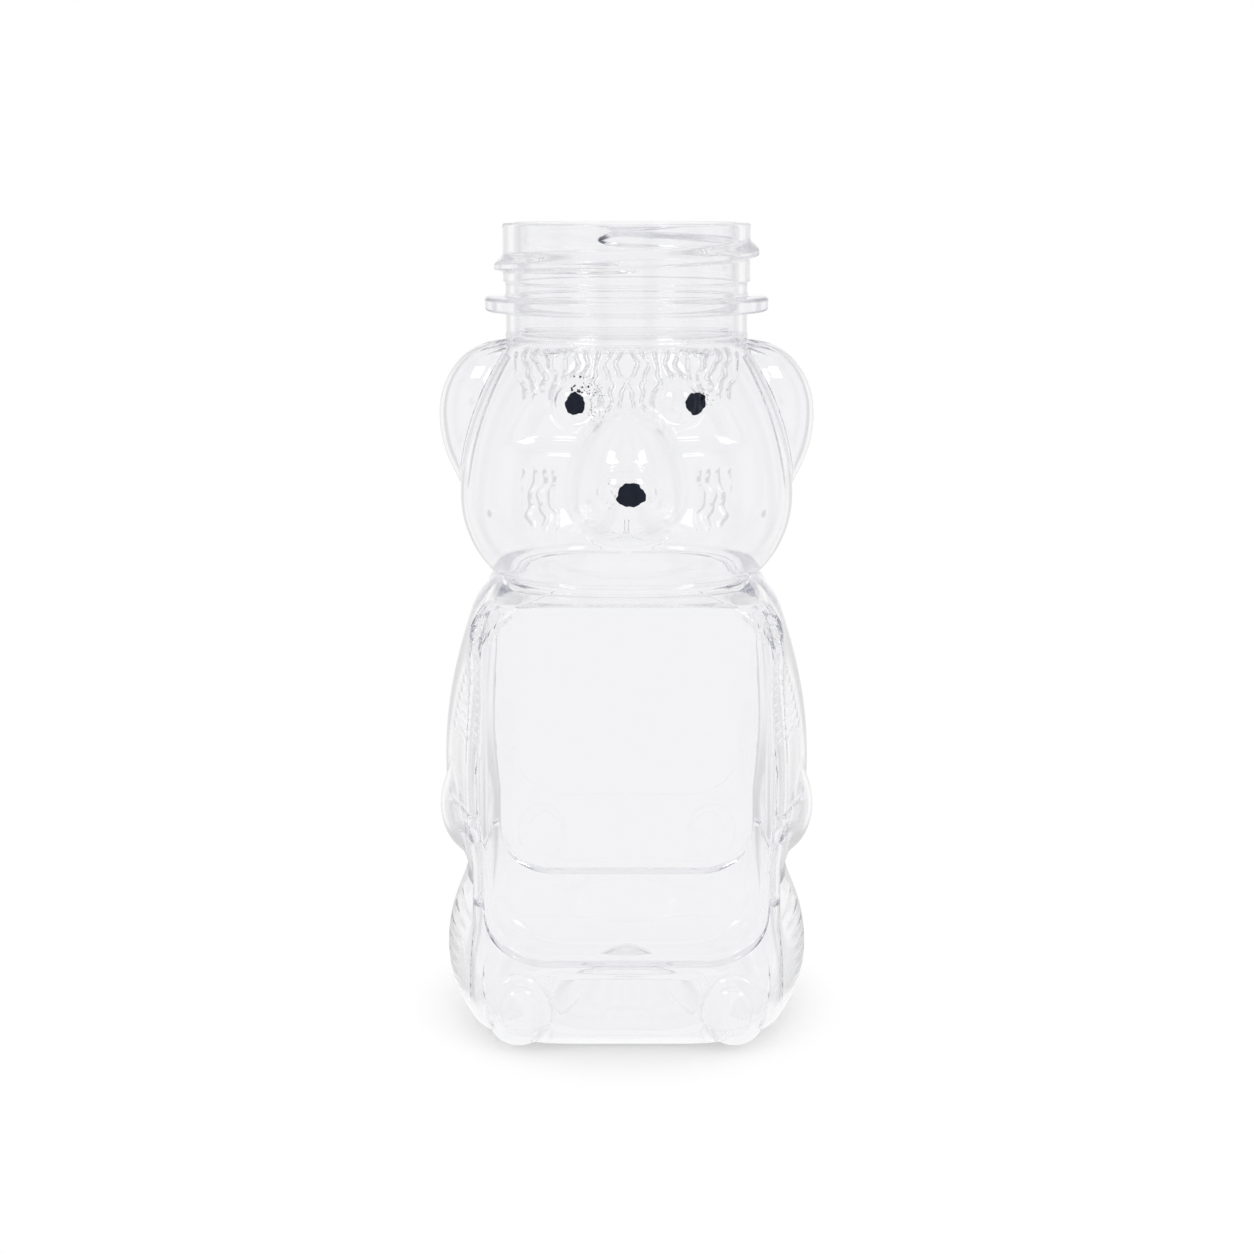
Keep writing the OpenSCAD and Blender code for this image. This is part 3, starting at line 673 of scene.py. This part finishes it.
# %% Pad-printed ink
ink_grain, ink_bump = 0.4, 0.1
ink = bpy.data.materials.new("pad_printed_navy_ink")
tree, output = blank(ink)
place = add(tree, "ShaderNodeTexCoord").outputs["Object"]
grain = add(tree, "ShaderNodeTexNoise", Vector=place, Scale=1 / (ink_grain * MM), Detail=3.0)
tone = add(tree, "ShaderNodeMix", {"data_type": "RGBA"}, Factor=grain.outputs["Fac"])
tone.inputs[6].default_value = linear("#03050b")
tone.inputs[7].default_value = linear("#101b30")
fine = {"Strength": 0.3, "Distance": ink_bump * MM}
bump = add(tree, "ShaderNodeBump", Height=grain.outputs["Fac"], **fine).outputs[0]
printed = {"Roughness": 0.25, "Specular_IOR_Level": 0.2}
surface = add(tree, "ShaderNodeBsdfPrincipled", Normal=bump, **printed)
tree.links.new(tone.outputs[2], surface.inputs["Base Color"])
tree.links.new(surface.outputs[0], output.inputs["Surface"])


def finish(piece, material, slot, *nodes):
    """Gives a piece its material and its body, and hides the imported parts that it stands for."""
    piece.data.materials.append(material)
    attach(piece, "root")
    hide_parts(*nodes)


# %% [markdown]
# ## The blown zones
# The real bottle is blown in one piece: a hot tube is stretched and blown against the mould. Here
# it is three shells, so that each can be picked by its name. Head and torso meet at the crease.
# Torso and base meet along the panels' lower outline and at the notch between paw and knee. The
# wall is drawn thinner at the crease, because light that is caught between the two steep faces
# there turns the crease darker than in the photograph. A seam's gap is too fine to see.

# %% Head and torso
crease_thin, crease_reach, swell_lead, swell_h = 0.6, 2.6, 1.8, 1.6
seam_gap, panel_scarf, neck_scarf = 0.005, 0.75, 1.3
columns, climb, descend = 400, np.linspace(0, 1, 191), np.linspace(1, 0, 51)


def outside(t, z):
    """Points of the outside with its relief."""
    r = bear_form(t, z)
    return at(t, r + bear_relief(t, z, r), z)


def smooth(t, z):
    """Points of the smooth form that the inside follows: no relief, and the toes are solid."""
    return at(t, bear_form(t, z, toes=False), z)


def inside(t, z, low, high):
    """Points of the inside: the smooth form, moved in by the wall along its normal."""
    swell = ease((z - neck_z + swell_lead) / swell_h)
    thick = mix(wall, neck_r - bore_r, swell) * (1 - crease_thin * ridge(z - crease_z, crease_reach))
    return smooth(t, z) - thick[..., None] * levelled(normals(smooth, t, z), z, low, high)


def scarf(t, rise):
    """How much higher the inside of a seam lies than its outside: rise in front, -rise behind."""
    return -rise * np.sin(t)


def tube(name, t, low, high, low_rise, high_rise):
    """Closed shell from heights low to high: rings up the outside, then down the inside."""
    low, high = low + seam_gap, high - seam_gap
    out_t, out_k = np.meshgrid(t, climb)
    in_t, in_k = np.meshgrid(t, descend)
    in_low, in_high = low + scarf(t, low_rise), high + scarf(t, high_rise)
    inner = inside(in_t, mix(in_low, in_high, in_k), in_low, in_high)
    return skin(name, shell(np.concatenate([outside(out_t, mix(low, high, out_k)), inner])))


head_t = turns(columns, [(0, 46, 2.2), (90, 19, 4.5)])
head = tube("bear_head", head_t, crease_z, neck_z, 0, neck_scarf)
finish(head, pet, "clear_pet", "head")
body_t = turns(columns, [(45, 18, 2.5), (138, 10, 1.0)])
seam_z = meeting(body_t)
torso = tube("bear_torso", body_t, seam_z, crease_z, panel_scarf, 0)
finish(torso, pet, "clear_pet", "torso")

# %% Base
roll_rows, side_rows, floor_rows, under_floor = 30, 80, 65, -9


def sole(t, k):
    """Underside at share k of the way from the axis to the standing edge, domed inside."""
    rim = bear_form(t, 0 * t, toes=False)
    r = k * mix(body_half[0] - edge_r, rim, ease((k - 0.5) / 0.5))
    rise = np.where(k < stand_share, 0.5 + 0.5 * np.cos(np.pi * k / stand_share), 0)
    return at(t, r, push_up * rise)


roll_in = edge_r * (1 - np.cos(np.linspace(0, np.pi / 2, roll_rows)[:-1]))
out_t, steps = np.meshgrid(body_t, np.concatenate([roll_in, np.linspace(0, 1, side_rows)]))
on_side = (np.arange(len(steps)) >= len(roll_in))[:, None]
top = seam_z - seam_gap
in_top = top + scarf(body_t, panel_scarf)
out_z = np.where(on_side, mix(edge_r, top, steps), steps)
in_z = np.where(on_side, mix(edge_r, in_top, steps), steps)
shares = np.linspace(0, 1, floor_rows)[1:-1]
under = sole(*np.meshgrid(body_t, shares))
over_t, over_k = np.meshgrid(body_t, shares[::-2])
over = sole(over_t, over_k) - wall * normals(sole, over_t, over_k, step_v=0.01)
in_t, in_z = out_t[:0:-3], in_z[:0:-3]
# The base has a seam above only, so the low end for the levelling lies under the floor.
upright = levelled(normals(smooth, in_t, in_z), in_z, under_floor, in_top)
inner = smooth(in_t, in_z) - wall * upright
rings = np.concatenate([under, outside(out_t, out_z), inner, over])
base = skin("bear_base", shell(rings, [(0, 0, push_up), (0, 0, push_up + wall)]))
finish(base, pet, "clear_pet", "base")

# %% [markdown]
# ## The neck
# The injection-moulded neck is thicker than the blown wall and has crisp edges. It is one profile
# carried round the axis: plain neck, support ring, undercut, thread wall, lip and bore. A thread
# swept as a piece of its own would leave an inner face that catches the light. Here it is a height
# added to the wall, so thread and wall are one surface, as in the real moulding.

# %% The neck's profile
undercut_h, ring_fillet, ring_round, shelf_fillet = 2.1, 0.3, 0.5, 0.4
lip_round, bore_round, lathe_step, thread_step, bore_step = 0.35, 0.25, 0.3, 0.05, 0.8


def corner_arc(r, z, radius, start, end, count=7):
    """Points of an arc from start to end degrees round the centre (r, z)."""
    a = np.radians(np.linspace(start, end, count))
    return np.stack([r + radius * np.cos(a), z + radius * np.sin(a)], axis=-1)


def straight(r, low, high, step):
    """Points up or down a plain wall, without its ends."""
    count = max(2, int(abs(high - low) / step))
    z = np.linspace(low, high, count + 1)[1:-1]
    return np.stack([r + 0 * z, z], axis=-1)


step_z = ring_top + undercut_h
profile = np.concatenate([
    [[neck_r, neck_z]],
    straight(neck_r, neck_z, ring_z - ring_fillet, lathe_step),
    corner_arc(neck_r + ring_fillet, ring_z - ring_fillet, ring_fillet, 180, 90),
    corner_arc(ring_r - ring_round, ring_z + ring_round, ring_round, -90, 0),
    corner_arc(ring_r - ring_round, ring_top - ring_round, ring_round, 0, 90),
    corner_arc(neck_r + shelf_fillet, ring_top + shelf_fillet, shelf_fillet, 270, 180),
    straight(neck_r, ring_top + shelf_fillet, step_z - 0.25, lathe_step),
    [[neck_r, step_z - 0.25], [neck_r + 0.05, step_z - 0.08]],
    [[finish_r - 0.06, step_z], [finish_r, step_z + 0.08]],
    straight(finish_r, step_z + 0.08, rim_z - lip_round, thread_step),
    corner_arc(finish_r - lip_round, rim_z - lip_round, lip_round, 0, 90),
    corner_arc(bore_r + bore_round, rim_z - bore_round, bore_round, 90, 180),
    straight(bore_r, rim_z - bore_round, neck_z, bore_step),
    [[bore_r, neck_z]],
])
print(f"neck profile: {len(profile)} points, support ring {2 * ring_r:.1f} mm across")

# %% The thread
thread_pitch, thread_crest, lower_flank, upper_flank, upper_ease = 4.233, 0.8, 0.6, 1.4, 1.68
thread_start, thread_sweep, thread_top = np.radians(106), np.radians(385), 2.3
thread_run_in, thread_run_out = np.radians(14), np.radians(40)


def thread(t, r, z):
    """Height of the thread: a crest along a helix, with a steep lower and a sloping upper flank."""
    height = 0 * z
    for turn in (0, 1):
        a = np.mod(thread_start - t, 2 * np.pi) + 2 * np.pi * turn
        mid = rim_z - thread_top - thread_crest / 2 - thread_pitch * a / (2 * np.pi)
        ends = np.clip(np.minimum(a / thread_run_in, (thread_sweep - a) / thread_run_out), 0, 1)
        size = np.sqrt(np.clip(1 - (1 - ends) ** 2, 0, 1))
        down = (z - mid + (thread_crest / 2 + lower_flank) * size) / lower_flank
        up = (mid + (thread_crest / 2 + upper_flank) * size - z) / upper_ease
        height = np.maximum(height, size * ease(down) * ease(up))
    return np.where(r > finish_r - 0.01, (thread_r - finish_r) * height, 0)


grid_t, row = np.meshgrid(turns(360, []), np.arange(len(profile)))
r, z = profile[row, 0], profile[row, 1]
bore = (r < bore_r + 0.01) & (z < rim_z - 0.3)
z = z + np.where(bore, scarf(grid_t, neck_scarf) * (rim_z - z) / (rim_z - neck_z), 0)
neck = skin("neck_moulding", shell(at(grid_t, r + thread(grid_t, r, z), z)))
finish(neck, pet, "clear_pet", "neck_finish", "neck_thread", "support_ring")

# %% [markdown]
# ## The printed eyes and nose
# A silicone pad prints each spot, and the ink runs a little into the fur, so its edge is ragged
# and fine specks lie beside the left eye.

# %% Ink spots
ink_t, ink_seat = 0.08, 0.02


def face_angle(x, z):
    """Angle at which the face lies x to the side at height z, found in a few steps."""
    t = -np.pi / 2 + 0 * x
    for _ in range(6):
        t = -np.arccos(np.clip(x / bear_form(t, z), -1, 1))
    return t


def spot(x, z, w, h, thick, ragged=0.0, phase=0, spokes=48, rows=10):
    """One closed spot of ink on the skin, thin at its ragged edge."""
    angles = np.linspace(0, 2 * np.pi, spokes, endpoint=False)
    a, k = np.meshgrid(angles, np.linspace(0.1, 1, rows))
    wobble = sum(np.sin(n * a + phase * n) / n**0.5 for n in (3, 5, 8, 13))
    reach = k * (1 + ragged * wobble * k**3)
    px, pz = x + reach * np.cos(a) * w / 2, z + reach * np.sin(a) * h / 2
    t = face_angle(px, pz)
    r = bear_form(t, pz)
    r = r + bear_relief(t, pz, r) + ink_seat
    bottom, top = at(t, r, pz), at(t, r + thick * np.sqrt(1 - 0.9 * k**4), pz)
    return shell(np.concatenate([bottom, top[::-1]]), [bottom[0].mean(axis=0), top[0].mean(axis=0)])


def spray(x, z, count, angles, distances, sizes, seed):
    """Specks of ink round (x, z): angles in degrees from +X, distances and diameters in mm."""
    rng = np.random.default_rng(seed)
    a = np.radians(rng.uniform(*angles, count))
    d = distances[0] + (distances[1] - distances[0]) * rng.uniform(0, 1, count) ** 1.5
    size = rng.uniform(*sizes, count)
    places = zip(x + d * np.cos(a), z + d * np.sin(a), size)
    return [spot(px, pz, w, w, ink_t / 3, spokes=7, rows=2) for px, pz, w in places]


def front_middle(node):
    """Width-wise and height-wise middle and the sizes of a printed part's box."""
    low, high = corners(node)
    return (low[0] + high[0]) / 2, (low[2] + high[2]) / 2, high[0] - low[0], high[2] - low[2]


sprays = {
    "left_eye": [
        (16, (50, 105), (1.6, 3.6), (0.14, 0.34), 1),
        (90, (-45, 75), (2.1, 4.2), (0.07, 0.15), 2),
    ],
    "right_eye": [(20, (-20, 95), (1.5, 2.4), (0.05, 0.16), 3)],
    "nose": [(14, (140, 215), (2.0, 3.4), (0.05, 0.14), 4)],
}
for node, ragged, phase in (("left_eye", 0.08, 1), ("right_eye", 0.08, 2), ("nose", 0.09, 3)):
    x, z, w, h = front_middle(node)
    specks = [speck for group in sprays[node] for speck in spray(x, z, *group)]
    piece = skin(node + "_ink", spot(x, z, w, h, ink_t, ragged, phase), *specks)
    finish(piece, ink, "navy_ink", node)

# %% [markdown]
# ## The view
# The render shows its colours through Blender's Standard view transform.

# %% Finish
bpy.context.scene.view_settings.view_transform = "Standard"
